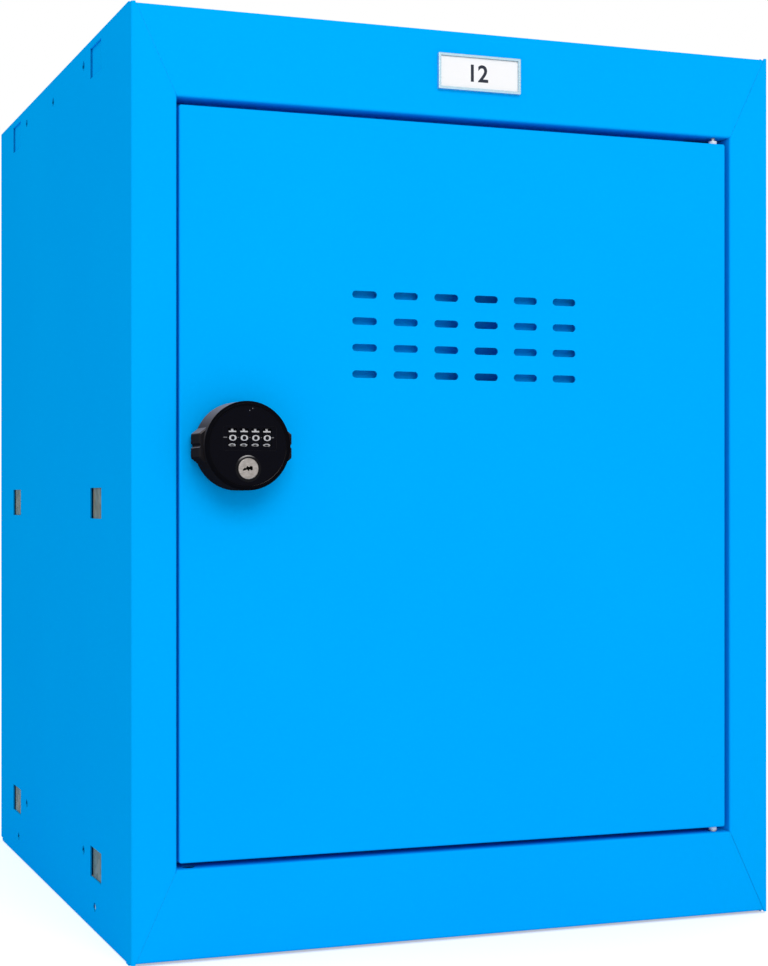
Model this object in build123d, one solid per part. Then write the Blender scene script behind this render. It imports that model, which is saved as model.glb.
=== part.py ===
from build123d import *
import math
import os

# Cube locker with a flush door, a round code lock and a key override. Millimetres.
# X runs to the right seen from the front, Y to the back and Z up.
# Carcass and door are drawn from the left outer face, the front face and the foot.
# Lock pieces are drawn round the lock's own axis, with Y = 0 on the door's face.
# At the end all are moved so that the origin is the centre of the whole object's base.

# Carcass
width = 400.0
depth = 400.0
height = 525.0
sheet = 1.0
bend_radius = 1.5
panel_gap = 0.2
left_stile = 25.5
right_stile = 26.3
top_rail = 49.4
bottom_rail = 49.8
rail_step = 1.8
stile_step = 1.2
mitre_start = 2.3
top_mitre_gaps = (0.03, 0.12)
bottom_mitre_gaps = (0.05, 0.22)
return_gap = 0.15
front_relief = 4.0
rear_relief = 5.0
rear_flange = 20.0
foot_return = 11.0
foot_start = 12.0
stile_relief = 6.5
rail_return = 20.0
side_flange = 30.0
floor_flange = 20.0
stop_lip = 10.0
top_stop_lip = 8.0
stop_gap = 2.0
overcut = 1.0

# Slots and holes in the two sides. A drop is measured down from the top of the side,
# and an inset in from its rear edge.
slot_long = 28.0
slot_high = 18.0
slot_front = 86.0
slot_rear_inset = 65.0
slot_top_drop = 13.5
slot_low_z = 40.0
slot_middle_shift = -24.25
link_hole = 5.5
link_front = 119.0
link_rear_inset = 101.0
link_low_z = 42.8
link_top_drop = 10.6
crown_hole_drop = 14.0
foot_hole_front = 89.0
foot_hole_rear_inset = 71.0
foot_hole_z = 14.7
slot_plate_long = 40.5
slot_plate_high = 20.8
slot_plate_thick = 1.2
slot_plate_short = 3.5
slot_plate_corner = 1.5

# Door
door_gap_left = 1.4
door_gap_right = 3.4
door_gap_top = 4.2
door_gap_bottom = 3.2
door_depth = 16.0
door_lip = 12.0
door_corner = 1.3
door_bend = 1.2
lip_slit = 0.6
vent_columns = 6
vent_rows = 4
vent_long = 15.0
vent_high = 4.2
vent_pitch_x = 25.15
vent_pitch_z = 15.0
vent_drop = 122.6
vent_shift = -0.45
baffle_stand = 4.8
baffle_side = 14.0
baffle_foot = 9.0
baffle_over = 12.0
groove_shift = 17.5
groove_wide = 17.0
groove_deep = 6.0
groove_slope = 3.0
groove_flank = 26.0

# Hinge
hinge_inset = 5.5
hinge_back = 5.5
pin_diameter = 3.0
pin_point = 0.6
pin_head = 5.6
pin_head_thick = 1.2
pin_reach = 11.0
pin_collar_thick = 1.0
bush_head = 5.0
bush_barrel = 4.2
bush_long = 8.0
top_bush_head_thick = 2.2
running_gap = 0.05
rest_gap = 0.1
notch_long = 22.0
spare_hole = 7.6
spare_hole_inset = 6.8
spare_hole_back = 7.0

# Door buffers
buffer_diameter = 7.0
buffer_round = 0.6
buffer_stem = 3.6
buffer_stem_long = 3.0
buffer_inset = 64.0

# Label
label_shift = 5.8
label_rise = 1.05
label_wide = 52.0
label_high = 20.7
label_rim = 1.5
label_thick = 2.6
label_floor = 0.6
label_corner = 0.6
label_edge = 0.3
insert_thick = 0.8

# Lock, fixed on the door
lock_inset = 31.7
lock_z = 282.8
rose_inset = 1.8
rose_thick = 2.0
rose_edge = 0.5
barrel_diameter = 19.0
barrel_flats = 16.0
barrel_long = 15.0
lock_fit = 0.15
nut_across = 24.0
nut_thick = 5.0
nut_edge = 0.8
washer_diameter = 29.0
washer_thick = 1.0
washer_notches = 16
washer_notch = 1.8
stop_pin_radius = 14.0
stop_pin_diameter = 2.4
stop_pin_long = 1.8
stop_pin_angle = 45.0

# Knob
knob_diameter = 48.4
knob_bevel = 1.3
knob_edge = 0.4
knob_float = 0.3
knob_floor = 2.0
knob_turn = 90.0
rim_wall = 2.4
face_thick = 1.4
face_inset = 0.4
face_fit = 0.1
ear_reach = 2.1
ear_root = 20.0
ear_tip = 13.0
ear_deep = 16.5
ear_inset = 4.3
ear_round = 1.2
ear_edge = 0.8
ear_groove = 1.3
index_notch = 1.6
spindle_diameter = 10.0
square_side = 7.0
back_plate_wall = 3.9
back_plate_thick = 3.0
back_plate_inset = 0.3
groove_fit = 0.35
knob_screw_radius = 16.6
knob_screw = 3.0
knob_screw_core = 2.5
knob_screw_grip = 2.2
knob_screw_sink = 1.2
knob_screw_slot = 0.6

# Code wheels
wheel_count = 4
digit_count = 10
wheel_diameter = 15.0
wheel_wide = 4.8
wheel_pitch = 6.5
wheel_rise = 4.4
wheel_shift = 1.0
wheel_proud = 0.3
wheel_edge = 0.35
spring_room = 1.7
thumb_notch = 1.1
thumb_notch_deep = 0.3
wheel_gap = 0.2
window_high = 9.8
window_relief = 0.35
panel_wide = 30.0
panel_top = 10.4
panel_bottom = -2.6
panel_deep = 0.3
panel_corner = 1.0
axle_diameter = 2.4
axle_overhang = 3.5
axle_edge = 0.3
cavity_gap = 0.7
spring_thick = 0.4
spring_wide = 3.0
spring_base = 3.0
spring_bend = 1.0
spring_gap = 0.4

# Key cylinder
plug_diameter = 11.4
plug_long = 12.0
plug_proud = 0.6
plug_edge = 0.35
sleeve_diameter = 14.4
sleeve_proud = 0.5
sleeve_wall = 1.35
sleeve_long = 15.5
sleeve_slope = 0.42
sleeve_flat = 0.3
keyway_deep = 9.0
keyway_tilt = 6.0

# Cam
cam_thick = 2.5
cam_wide = 15.0
cam_reach = 32.0
cam_corner = 3.0
cam_clear = 1.0
cam_screw_head = 9.0
cam_screw_head_thick = 2.5
cam_screw_round = 1.0
cam_screw_stem = 4.0
cam_screw_long = 8.0
cam_screw_socket = 3.0
cam_screw_socket_deep = 1.5

# Values that follow from those above
half = sheet / 2
roof = height - rail_step
opening_left = left_stile
opening_right = width - right_stile
opening_top = roof - top_rail
opening_bottom = rail_step + bottom_rail
door_left = opening_left + door_gap_left
door_right = opening_right - door_gap_right
door_top = opening_top - door_gap_top
door_bottom = opening_bottom + door_gap_bottom
door_x = (door_left + door_right) / 2
stop_y = door_depth + stop_gap
back_inside = depth - 2 * sheet
panel_inset = sheet + panel_gap
front_joint = front_relief + sheet + bend_radius / 2
rear_joint = back_inside - rear_relief
hinge_x = door_right - hinge_inset
pin_hole = pin_diameter + 2 * running_gap
bush_hole = bush_barrel + 2 * running_gap
buffer_x = opening_left + stop_lip / 2
label_x = width / 2 + label_shift
label_z = opening_top + top_rail / 2 + label_rise
vent_x = door_x + vent_shift
vent_centre_z = door_top - vent_drop
vent_span_x = (vent_columns - 1) * vent_pitch_x + vent_long
vent_span_z = (vent_rows - 1) * vent_pitch_z + vent_high
lock_x = door_left + lock_inset
lock_hole = barrel_diameter + 2 * lock_fit
lock_hole_flats = barrel_flats + 2 * lock_fit
cam_y = stop_y + sheet + cam_clear
rose_diameter = knob_diameter - 2 * rose_inset
knob_rear = -(rose_thick + knob_float)
back_plate_diameter = knob_diameter - 2 * back_plate_wall
back_plate_rear = knob_rear - back_plate_inset
back_plate_front = back_plate_rear - back_plate_thick
knob_floor_y = back_plate_front - knob_floor
wheel_y = knob_floor_y - spring_room - wheel_diameter / 2
face_y = wheel_y - wheel_diameter / 2 + wheel_proud
pocket_y = face_y + face_thick
knob_reach = face_inset - face_y
rim_inner = knob_diameter - 2 * rim_wall
wheel_bore = axle_diameter + 2 * running_gap
cavity_half_x = ((wheel_count - 1) * wheel_pitch + wheel_wide) / 2 + cavity_gap
cavity_radius = wheel_diameter / 2 + cavity_gap
sleeve_bore = sleeve_diameter + 2 * running_gap
plug_drop = cavity_radius - wheel_rise + sleeve_wall + sleeve_bore / 2
sleeve_rear = pocket_y + sleeve_long
plug_front = -(knob_reach + plug_proud)
front_y = -(depth + knob_reach + plug_proud) / 2 + knob_reach + plug_proud


def along_x(section, start, end):
    # section drawn as (y, z)
    plane = Plane((start, 0, 0), x_dir=(0, 1, 0), z_dir=(1, 0, 0))
    return extrude(plane * section, amount=end - start)


def along_y(section, start, end):
    # section drawn as (x, z)
    plane = Plane((0, start, 0), x_dir=(1, 0, 0), z_dir=(0, -1, 0))
    return extrude(plane * section, amount=start - end)


def along_z(section, start, end):
    # section drawn as (x, y)
    plane = Plane((0, 0, start), x_dir=(1, 0, 0), z_dir=(0, 0, 1))
    return extrude(plane * section, amount=end - start)


def block(low, high):
    size = [b - a for a, b in zip(low, high)]
    middle = [(a + b) / 2 for a, b in zip(low, high)]
    return Pos(*middle) * Box(*size)


def outline(*points):
    return make_face(Polyline(*points, close=True))


def folded(*points):
    # Section of a folded sheet, whose middle line runs through the points
    return trace(FilletPolyline(*points, radius=bend_radius - half), sheet)


def rod(diameter, start, end, x=0.0, z=0.0):
    # Round bar along Y
    return Pos(x, (start + end) / 2, z) * Rot(90, 0, 0) * Cylinder(diameter / 2, end - start)


def post(diameter, start, end):
    # Round bar along Z, on the door's hinge axis
    return Pos(hinge_x, hinge_back, (start + end) / 2) * Cylinder(diameter / 2, end - start)


def cross_bar(diameter, start, end, y, z):
    # Round bar along X
    return Pos((start + end) / 2, y, z) * Rot(0, 90, 0) * Cylinder(diameter / 2, end - start)


def mirrored(piece):
    # The same piece on the other side of the carcass
    return mirror(piece, about=Plane((width / 2, 0, 0), x_dir=(0, 1, 0), z_dir=(1, 0, 0)))


def front_face(piece):
    return piece.faces().sort_by(Axis.Y)[0]


# Side panels

def slot_rows():
    low = slot_low_z
    top = height - slot_top_drop
    return low, (low + top) / 2 + slot_middle_shift, top


def slot_columns():
    return slot_front, depth - slot_rear_inset


def side_hole_places():
    link_rear = depth - link_rear_inset
    links = [(y, z) for y in (link_front, link_rear) for z in (link_low_z, height - link_top_drop)]
    crown = [((link_front + link_rear) / 2, height - crown_hole_drop)]
    feet = [(y, foot_hole_z) for y in (foot_hole_front, depth - foot_hole_rear_inset)]
    return links + crown + feet


def side_hole_bars(reach):
    # Round bars that cut the bolt holes through whatever lies within reach of the outer face
    bars = Part()
    for y, z in side_hole_places():
        bars += cross_bar(link_hole, -overcut, reach, y, z)
    return bars


def beyond_mitre(stile, upper):
    # What a stile leaves to the rail: everything inward of the mitre line and past the opening
    far = stile + stop_lip + overcut
    end, rail_edge, opening = height + overcut, roof, opening_top
    if not upper:
        end, rail_edge, opening = -overcut, rail_step, opening_bottom
    corner = [(mitre_start, end), (mitre_start, rail_edge), (stile, opening)]
    return outline(*corner, (far, opening), (far, end))


def buffer_places():
    return [(buffer_x, z) for z in (door_bottom + buffer_inset, door_top - buffer_inset)]


def side_panel(stile, lip):
    # Drawn as the left one: rear flange, skin, front stile, door return and optional stop lip
    points = [(rear_flange, depth - half), (half, depth - half), (half, half), (stile - half, half)]
    if lip:
        points += [(stile - half, stop_y + half), (stile + stop_lip, stop_y + half)]
    else:
        points += [(stile - half, stop_y + sheet)]
    panel = along_z(folded(*points), 0, height)
    deep = stop_y + sheet + overcut
    panel -= along_y(beyond_mitre(stile, True), -overcut, deep)
    panel -= along_y(beyond_mitre(stile, False), -overcut, deep)
    # Behind the stile, the door return and its lip end just inside the two rails
    inner = 2 * bend_radius
    outer = stile + stop_lip + overcut
    panel -= block((inner, front_relief, opening_top - panel_gap), (outer, deep, height + overcut))
    panel -= block((inner, front_relief, -overcut), (outer, deep, opening_bottom + panel_gap))
    # The stile is a little shorter than the skin at both ends
    panel -= block((-overcut, -overcut, height - stile_step), (stile, stile_relief, height + overcut))
    panel -= block((-overcut, -overcut, -overcut), (stile, stile_relief, stile_step))
    # Foot return
    fold = 2 * bend_radius
    panel -= block((-overcut, foot_start, -overcut), (rear_flange + overcut, depth + overcut, fold))
    foot = folded((half, fold), (half, half), (foot_return, half))
    panel += along_y(foot, foot_start, depth - stile_relief)
    for y in slot_columns():
        for z in slot_rows():
            low = (-overcut, y - slot_long / 2, z - slot_high / 2)
            panel -= block(low, (sheet + overcut, y + slot_long / 2, z + slot_high / 2))
    if lip:
        for x, z in buffer_places():
            panel -= rod(buffer_stem + 2 * running_gap, stop_y - overcut, stop_y + sheet + overcut, x, z)
    return panel - side_hole_bars(sheet + overcut)


def slot_plates():
    # Plain zinc plates welded behind the lower and middle slots of the left side
    plates = []
    for y in slot_columns():
        rear = y + slot_long / 2 - slot_plate_short
        for z in slot_rows()[:2]:
            low = (sheet, rear - slot_plate_long, z - slot_plate_high / 2)
            high = (sheet + slot_plate_thick, rear, z + slot_plate_high / 2)
            plates.append(fillet(block(low, high).edges().filter_by(Axis.X), slot_plate_corner))
    bars = side_hole_bars(sheet + slot_plate_thick + overcut)
    return [plate - bars for plate in plates]


# Top, floor and back

def rail_ends(upper):
    # What the mitres take off both ends of a rail
    rail_edge, opening, gaps = rail_step, opening_bottom, bottom_mitre_gaps
    outside = rail_edge - overcut
    inside = opening + overcut
    if upper:
        rail_edge, opening, gaps = roof, opening_top, top_mitre_gaps
        outside = rail_edge + overcut
        inside = opening - top_stop_lip - overcut
    ends = []
    for stile, gap in zip((left_stile, right_stile), gaps):
        start = mitre_start + gap
        edge = stile + gap
        corners = [(start, outside), (start, rail_edge), (edge, opening), (edge, inside)]
        section = outline((-overcut, outside), *corners, (-overcut, inside))
        ends.append(along_y(section, -overcut, front_relief))
    return ends[0] + mirrored(ends[1])


def flanged_sheet(level, flange_end):
    # Middle stretch of the roof or the floor, with a flange along each side
    left = panel_inset + half
    right = width - left
    section = folded((left, flange_end), (left, level), (right, level), (right, flange_end))
    return along_y(section, front_joint, rear_joint)


def top_panel():
    level = roof - half
    front = folded(
        (stop_y + half, opening_top - top_stop_lip),
        (stop_y + half, opening_top + half),
        (half, opening_top + half),
        (half, level),
        (front_joint, level),
    )
    panel = along_x(front, panel_inset, width - panel_inset) - rail_ends(True)
    # The return and the stop lip lie between the stiles, and the lip also clears the side's lip
    # and the door's hinge edge.
    low = opening_top - top_stop_lip - overcut
    high = opening_top + 2 * bend_radius
    deep = stop_y + sheet + overcut
    left_end = left_stile + return_gap
    panel -= block((-overcut, front_relief, low), (left_end, deep, high))
    panel -= block((opening_right - return_gap, front_relief, low), (width + overcut, deep, high))
    lip_front = stop_y - bend_radius
    panel -= block((0, lip_front, low), (left_end + stop_lip, deep, opening_top))
    panel -= block((opening_right - notch_long, lip_front, low), (width, deep, opening_top))
    panel += flanged_sheet(level, roof - side_flange)
    rear = folded((rear_joint, level), (back_inside - half, level), (back_inside - half, roof - rear_flange))
    panel += along_x(rear, rear_flange, width - rear_flange)
    panel -= post(pin_hole, opening_top - overcut, opening_top + sheet + overcut)
    bars = side_hole_bars(panel_inset + sheet + overcut)
    return panel - bars - mirrored(bars)


def floor_panel():
    level = opening_bottom - half
    low = rail_step + half
    front = folded((rail_return, low), (half, low), (half, level), (front_joint, level))
    panel = along_x(front, panel_inset, width - panel_inset) - rail_ends(False)
    panel += flanged_sheet(level, opening_bottom + floor_flange)
    rear_line = back_inside - half
    rear = folded((rear_joint, level), (rear_line, level), (rear_line, opening_bottom + rear_flange))
    panel += along_x(rear, rear_flange, width - rear_flange)
    # Open hole for the pivot of a left hung door
    place = Pos(door_left + spare_hole_inset, spare_hole_back, opening_bottom)
    panel -= place * Cylinder(spare_hole / 2, 2 * sheet + 2 * overcut)
    return panel - post(pin_hole, opening_bottom - sheet - overcut, opening_bottom + overcut)


def back_panel():
    inset = sheet + bend_radius
    return block((inset, back_inside, rail_step), (width - inset, back_inside + sheet, roof))


# Hinge

def top_pin():
    # Dropped in from above through the top rail's return
    seat = opening_top + sheet
    shank = post(pin_diameter, door_top - pin_reach, seat)
    shank = chamfer(shank.edges().sort_by(Axis.Z)[0], pin_point)
    head = post(pin_head, seat, seat + pin_head_thick)
    return shank + fillet(head.edges().sort_by(Axis.Z)[-1], pin_head_thick / 2)


def bottom_pin():
    # Clenched on the floor panel between its collar and its riveted head
    under = opening_bottom - sheet
    shank = post(pin_diameter, under, door_bottom + pin_reach)
    shank = chamfer(shank.edges().sort_by(Axis.Z)[-1], pin_point)
    head = post(pin_head, under - pin_head_thick, under)
    head = fillet(head.edges().sort_by(Axis.Z)[0], pin_head_thick / 2)
    return shank + head + post(bush_head, opening_bottom, opening_bottom + pin_collar_thick)


def hinge_bush(head_end, seat, barrel_end):
    # The head lies outside the door's flange and the barrel inside
    low = min(head_end, barrel_end)
    high = max(head_end, barrel_end)
    head = post(bush_head, min(head_end, seat), max(head_end, seat))
    barrel = post(bush_barrel, min(barrel_end, seat), max(barrel_end, seat))
    return head + barrel - post(pin_hole, low - overcut, high + overcut)


def top_bush():
    return hinge_bush(door_top + top_bush_head_thick, door_top, door_top - bush_long)


def bottom_bush():
    head_end = opening_bottom + pin_collar_thick + rest_gap
    return hinge_bush(head_end, door_bottom, door_bottom + bush_long)


def door_buffers():
    # Rubber studs in the stop lip that the closed door rests on
    pieces = []
    for x, z in buffer_places():
        head = rod(buffer_diameter, door_depth + rest_gap, stop_y, x, z)
        head = fillet(head.edges().sort_by(Axis.Y)[0], buffer_round)
        pieces.append(head + rod(buffer_stem, stop_y, stop_y + buffer_stem_long, x, z))
    return pieces


# Label

def label_block(inset, front, rear):
    low = (label_x - label_wide / 2 + inset, front, label_z - label_high / 2 + inset)
    return block(low, (label_x + label_wide / 2 - inset, rear, label_z + label_high / 2 - inset))


def label_frame():
    frame = label_block(0, -label_thick, 0)
    frame = fillet(frame.edges().filter_by(Axis.Y), label_corner)
    frame = chamfer(front_face(frame).edges(), label_edge)
    return frame - label_block(label_rim, -label_thick - overcut, -label_floor)


def label_insert():
    return label_block(label_rim + rest_gap, -label_floor - insert_thick, -label_floor)


# Door

def flat_sided(diameter, flats):
    # Round section with two flats, which keeps the lock from turning in the door
    return Circle(diameter / 2) & Rectangle(diameter, flats)


def pan_block(inset, front, rear, corner):
    low = (door_left + inset, front, door_bottom + inset)
    solid = block(low, (door_right - inset, rear, door_top - inset))
    return fillet(solid.edges().filter_by(Axis.Y), corner)


def lip_slits():
    # Open mitres where the rear lips of the pan meet at its corners
    middle = sheet + door_lip / 2
    slits = Part()
    for side, x in ((1, door_left), (-1, door_right)):
        for rise, z in ((1, door_bottom), (-1, door_top)):
            place = Pos(x + side * middle, door_depth, z + rise * middle) * Rot(0, -45 * side * rise, 0)
            slits += place * Box(door_lip * math.sqrt(2), 3 * sheet, lip_slit)
    return slits


def vent_places():
    for column in range(vent_columns):
        for row in range(vent_rows):
            x = vent_x + (column - (vent_columns - 1) / 2) * vent_pitch_x
            z = vent_centre_z + (row - (vent_rows - 1) / 2) * vent_pitch_z
            yield x, z


def door_panel():
    outer = pan_block(0, 0, door_depth, door_corner)
    outer = fillet(front_face(outer).edges(), door_bend)
    inner = pan_block(sheet, sheet, door_depth - sheet, door_corner - sheet)
    inner = fillet(front_face(inner).edges(), door_bend - sheet)
    mouth = pan_block(sheet + door_lip, door_depth - 2 * sheet, door_depth + overcut, door_corner)
    panel = outer - inner - mouth - lip_slits()
    holes = flat_sided(lock_hole, lock_hole_flats).moved(Location((lock_x, lock_z, 0)))
    for x, z in vent_places():
        holes += Pos(x, z) * SlotOverall(vent_long, vent_high)
    panel -= along_y(holes, -overcut, 2 * sheet)
    panel -= post(bush_hole, door_top - 2 * sheet, door_top + overcut)
    return panel - post(bush_hole, door_bottom - overcut, door_bottom + 2 * sheet)


def vent_baffle():
    # Folded plate behind the vents, open at its top and bottom, with a groove that has one long flank
    left = vent_x - vent_span_x / 2 - baffle_side
    right = vent_x + vent_span_x / 2 + baffle_side
    seat = sheet + half
    crown = seat + baffle_stand
    groove_left = vent_x + groove_shift - groove_wide / 2
    groove_right = groove_left + groove_wide
    section = folded(
        (left - baffle_foot, seat),
        (left, seat),
        (left, crown),
        (groove_left - groove_flank, crown),
        (groove_left, crown + groove_deep),
        (groove_right, crown + groove_deep),
        (groove_right + groove_slope, crown),
        (right, crown),
        (right, seat),
        (right + baffle_foot, seat),
    )
    reach = vent_span_z / 2 + baffle_over
    return along_z(section, vent_centre_z - reach, vent_centre_z + reach)


# Lock, fixed on the door

def lock_rose():
    plate = rod(rose_diameter, -rose_thick, 0)
    plate = chamfer(plate.edges().sort_by(Axis.Y)[0], rose_edge)
    rose = plate + along_y(flat_sided(barrel_diameter, barrel_flats), 0, barrel_long)
    rose -= rod(spindle_diameter + 2 * running_gap, -rose_thick - overcut, barrel_long + overcut)
    angle = math.radians(stop_pin_angle)
    x = stop_pin_radius * math.sin(angle)
    z = stop_pin_radius * math.cos(angle)
    return rose + rod(stop_pin_diameter, -rose_thick - stop_pin_long, -rose_thick, x, z)


def lock_washer():
    rear = sheet + washer_thick
    washer = rod(washer_diameter, sheet, rear) - rod(lock_hole, 0, rear + overcut)
    notches = Sketch()
    for place in PolarLocations(washer_diameter / 2, washer_notches):
        notches += place * Circle(washer_notch / 2)
    return washer - along_y(notches, 0, rear + overcut)


def lock_nut():
    seat = sheet + washer_thick
    nut = along_y(RegularPolygon(nut_across / 2, 6, major_radius=False), seat, seat + nut_thick)
    across_corners = 2 * nut_across / math.sqrt(3)
    cone = rod(across_corners, seat, seat + nut_thick)
    nut = nut & chamfer(cone.edges().filter_by(GeomType.CIRCLE), nut_edge)
    return nut - rod(lock_hole, seat - overcut, seat + nut_thick + overcut)


# Lock, the knob that turns

def window_places():
    return [wheel_shift + (i - (wheel_count - 1) / 2) * wheel_pitch for i in range(wheel_count)]


def knob_screw_places():
    return -knob_screw_radius, knob_screw_radius


def grip_ear():
    # Grip on the right of the knob, grooved along its end
    radius = knob_diameter / 2
    root = radius - rim_wall
    tip = radius + ear_reach
    section = outline((root, -ear_root / 2), (tip, -ear_tip / 2), (tip, ear_tip / 2), (root, ear_root / 2))
    section = fillet(section.vertices().group_by(Axis.X)[-1], ear_round)
    ear = along_y(section, ear_inset - knob_reach, ear_inset - knob_reach + ear_deep)
    ear = chamfer(front_face(ear).edges().group_by(Axis.X)[-1], ear_edge)
    return ear - rod(2 * ear_groove, -knob_reach, 0, tip + ear_groove / 3, 0)


def knob_shell():
    body = rod(knob_diameter, -knob_reach, knob_rear)
    body = chamfer(body.edges().sort_by(Axis.Y)[0], knob_bevel)
    body = chamfer(body.edges().sort_by(Axis.Y)[-1], knob_edge)
    body += grip_ear() + mirror(grip_ear(), about=Plane.YZ)
    # Seat of the face plate, wheel cavity, axle slots, sleeve bore and recess of the back plate
    body -= rod(rim_inner, -knob_reach - overcut, pocket_y)
    low = (wheel_shift - cavity_half_x, pocket_y - overcut, wheel_rise - cavity_radius)
    body -= block(low, (wheel_shift + cavity_half_x, knob_floor_y, wheel_rise + cavity_radius))
    slot_mouth = pocket_y - overcut
    slot = Pos((slot_mouth + wheel_y) / 2, wheel_rise) * SlotCenterToCenter(wheel_y - slot_mouth, wheel_bore)
    reach = cavity_half_x + axle_overhang
    body -= along_x(slot, wheel_shift - reach, wheel_shift + reach)
    body -= rod(sleeve_bore, pocket_y - overcut, sleeve_rear, 0, -plug_drop)
    body -= rod(back_plate_diameter + 2 * face_fit, back_plate_front, 0)
    for x in knob_screw_places():
        body -= rod(knob_screw_core + 2 * running_gap, back_plate_front - knob_screw_grip - rest_gap, 0, x)
    notch = Pos(0, knob_diameter / 2) * Rot(0, 0, 45) * Rectangle(index_notch, index_notch)
    return body - along_y(notch, -knob_reach - overcut, face_y)


def face_plate():
    plate = rod(rim_inner - 2 * face_fit, face_y, pocket_y)
    low = (wheel_shift - panel_wide / 2, face_y - overcut, panel_bottom)
    recess = block(low, (wheel_shift + panel_wide / 2, face_y + panel_deep, panel_top))
    plate -= fillet(recess.edges().filter_by(Axis.Y), panel_corner)
    half_window = wheel_wide / 2 + wheel_gap
    for x in window_places():
        low = (x - half_window, face_y - overcut, wheel_rise - window_high / 2)
        plate -= block(low, (x + half_window, pocket_y + overcut, wheel_rise + window_high / 2))
        relief = wheel_diameter + 2 * window_relief
        plate -= cross_bar(relief, x - half_window, x + half_window, wheel_y, wheel_rise)
    return plate - rod(sleeve_bore, face_y - overcut, pocket_y + overcut, 0, -plug_drop)


def wheel_axle():
    reach = cavity_half_x + axle_overhang - rest_gap
    axle = cross_bar(axle_diameter, wheel_shift - reach, wheel_shift + reach, wheel_y, wheel_rise)
    return chamfer(axle.edges().filter_by(GeomType.CIRCLE), axle_edge)


def code_wheel(x):
    # Shallow thumb notches lie between the digits
    wheel = cross_bar(wheel_diameter, x - wheel_wide / 2, x + wheel_wide / 2, wheel_y, wheel_rise)
    wheel = chamfer(wheel.edges().filter_by(GeomType.CIRCLE), wheel_edge)
    step = 360 / digit_count
    reach = (wheel_diameter + thumb_notch) / 2 - thumb_notch_deep
    for digit in range(digit_count):
        angle = math.radians(step * (digit + 0.5))
        y = wheel_y - reach * math.cos(angle)
        z = wheel_rise + reach * math.sin(angle)
        wheel -= cross_bar(thumb_notch, x - wheel_wide, x + wheel_wide, y, z)
    return wheel - cross_bar(wheel_bore, x - wheel_wide, x + wheel_wide, wheel_y, wheel_rise)


def detent_spring():
    # Strip on the cavity's floor, with one bowed finger behind each wheel
    top = wheel_rise + cavity_radius - rest_gap
    bottom = wheel_rise - cavity_radius + rest_gap
    reach = cavity_half_x - rest_gap
    low = (wheel_shift - reach, knob_floor_y - spring_thick, bottom)
    strip = block(low, (wheel_shift + reach, knob_floor_y, bottom + spring_base))
    line_y = knob_floor_y - spring_thick / 2
    bow_y = wheel_y + wheel_diameter / 2 + spring_gap + spring_thick / 2
    finger = FilletPolyline(
        (line_y, bottom + spring_base / 2),
        (line_y, bottom + spring_base),
        (bow_y, wheel_rise),
        (line_y, top - spring_bend),
        radius=spring_bend,
    )
    for x in window_places():
        strip += along_x(trace(finger, spring_thick), x - spring_wide / 2, x + spring_wide / 2)
    return strip


def key_sleeve():
    # Its front slopes back to the edge as a shallow cone
    front = face_y - sleeve_proud
    sleeve = rod(sleeve_diameter, front + sleeve_slope, sleeve_rear - rest_gap, 0, -plug_drop)
    cone = Cone(sleeve_diameter / 2, plug_diameter / 2 + sleeve_flat, sleeve_slope)
    sleeve += Pos(0, front + sleeve_slope / 2, -plug_drop) * Rot(90, 0, 0) * cone
    bore_end = plug_front + plug_long + rest_gap
    return sleeve - rod(plug_diameter + 2 * running_gap, front - overcut, bore_end, 0, -plug_drop)


def key_plug():
    plug = rod(plug_diameter, plug_front, plug_front + plug_long, 0, -plug_drop)
    plug = chamfer(plug.edges().sort_by(Axis.Y)[0], plug_edge)
    # Warded keyway, lying on its side
    upper = [(-3.4, -0.2), (-2.2, 0.8), (-1.6, 0.4), (-0.6, 1.6), (0.3, 0.7), (1.0, 1.3), (2.3, 1.0)]
    lower = [(2.3, -0.8), (1.3, -1.3), (0.6, -0.4), (-0.1, -1.4), (-1.0, -0.5), (-3.4, -0.9)]
    keyway = Pos(0, -plug_drop) * Rot(0, 0, keyway_tilt) * outline(*upper, *lower)
    return plug - along_y(keyway, plug_front - overcut, plug_front + keyway_deep)


def spindle():
    plate = rod(back_plate_diameter, back_plate_front, back_plate_rear)
    shaft = rod(spindle_diameter, back_plate_rear, cam_y)
    seat = cam_y + cam_thick
    piece = plate + shaft + along_y(Rectangle(square_side, square_side), cam_y, seat - rest_gap)
    piece -= rod(cam_screw_stem + 2 * running_gap, seat - cam_screw_long - rest_gap, seat)
    # Arc groove that the rose's stop pin runs in, which ends the knob's turn both ways
    arc = CenterArc((0, 0), stop_pin_radius, 90 - stop_pin_angle, knob_turn)
    groove = trace(arc, stop_pin_diameter + 2 * groove_fit)
    for end in (arc @ 0, arc @ 1):
        groove += Pos(end) * Circle(stop_pin_diameter / 2 + groove_fit)
    piece -= along_y(groove, back_plate_rear - stop_pin_long, 0)
    for x in knob_screw_places():
        piece -= rod(knob_screw, back_plate_front - overcut, 0, x)
        piece -= rod(2 * knob_screw, back_plate_rear - knob_screw_sink, 0, x)
    return piece


def knob_screws():
    seat = back_plate_rear - knob_screw_sink
    slot_long_half = knob_screw - face_fit
    pieces = []
    for x in knob_screw_places():
        head = rod(2 * (knob_screw - face_fit), seat, back_plate_rear - rest_gap, x)
        stem = rod(knob_screw_core, back_plate_front - knob_screw_grip, seat, x)
        low = (x - knob_screw_slot / 2, seat + knob_screw_slot, -slot_long_half)
        slot = block(low, (x + knob_screw_slot / 2, 0, slot_long_half))
        pieces.append(head + stem - slot)
    return pieces


def locking_cam():
    # Hangs down when the lock is open, and swings behind the stop lip
    arm = Pos(0, -cam_reach / 2) * Rectangle(cam_wide, cam_reach)
    section = Circle(cam_wide / 2) + arm
    section = fillet(section.vertices().group_by(Axis.Y)[0], cam_corner)
    square = square_side + 2 * running_gap
    return along_y(section - Rectangle(square, square), cam_y, cam_y + cam_thick)


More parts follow.
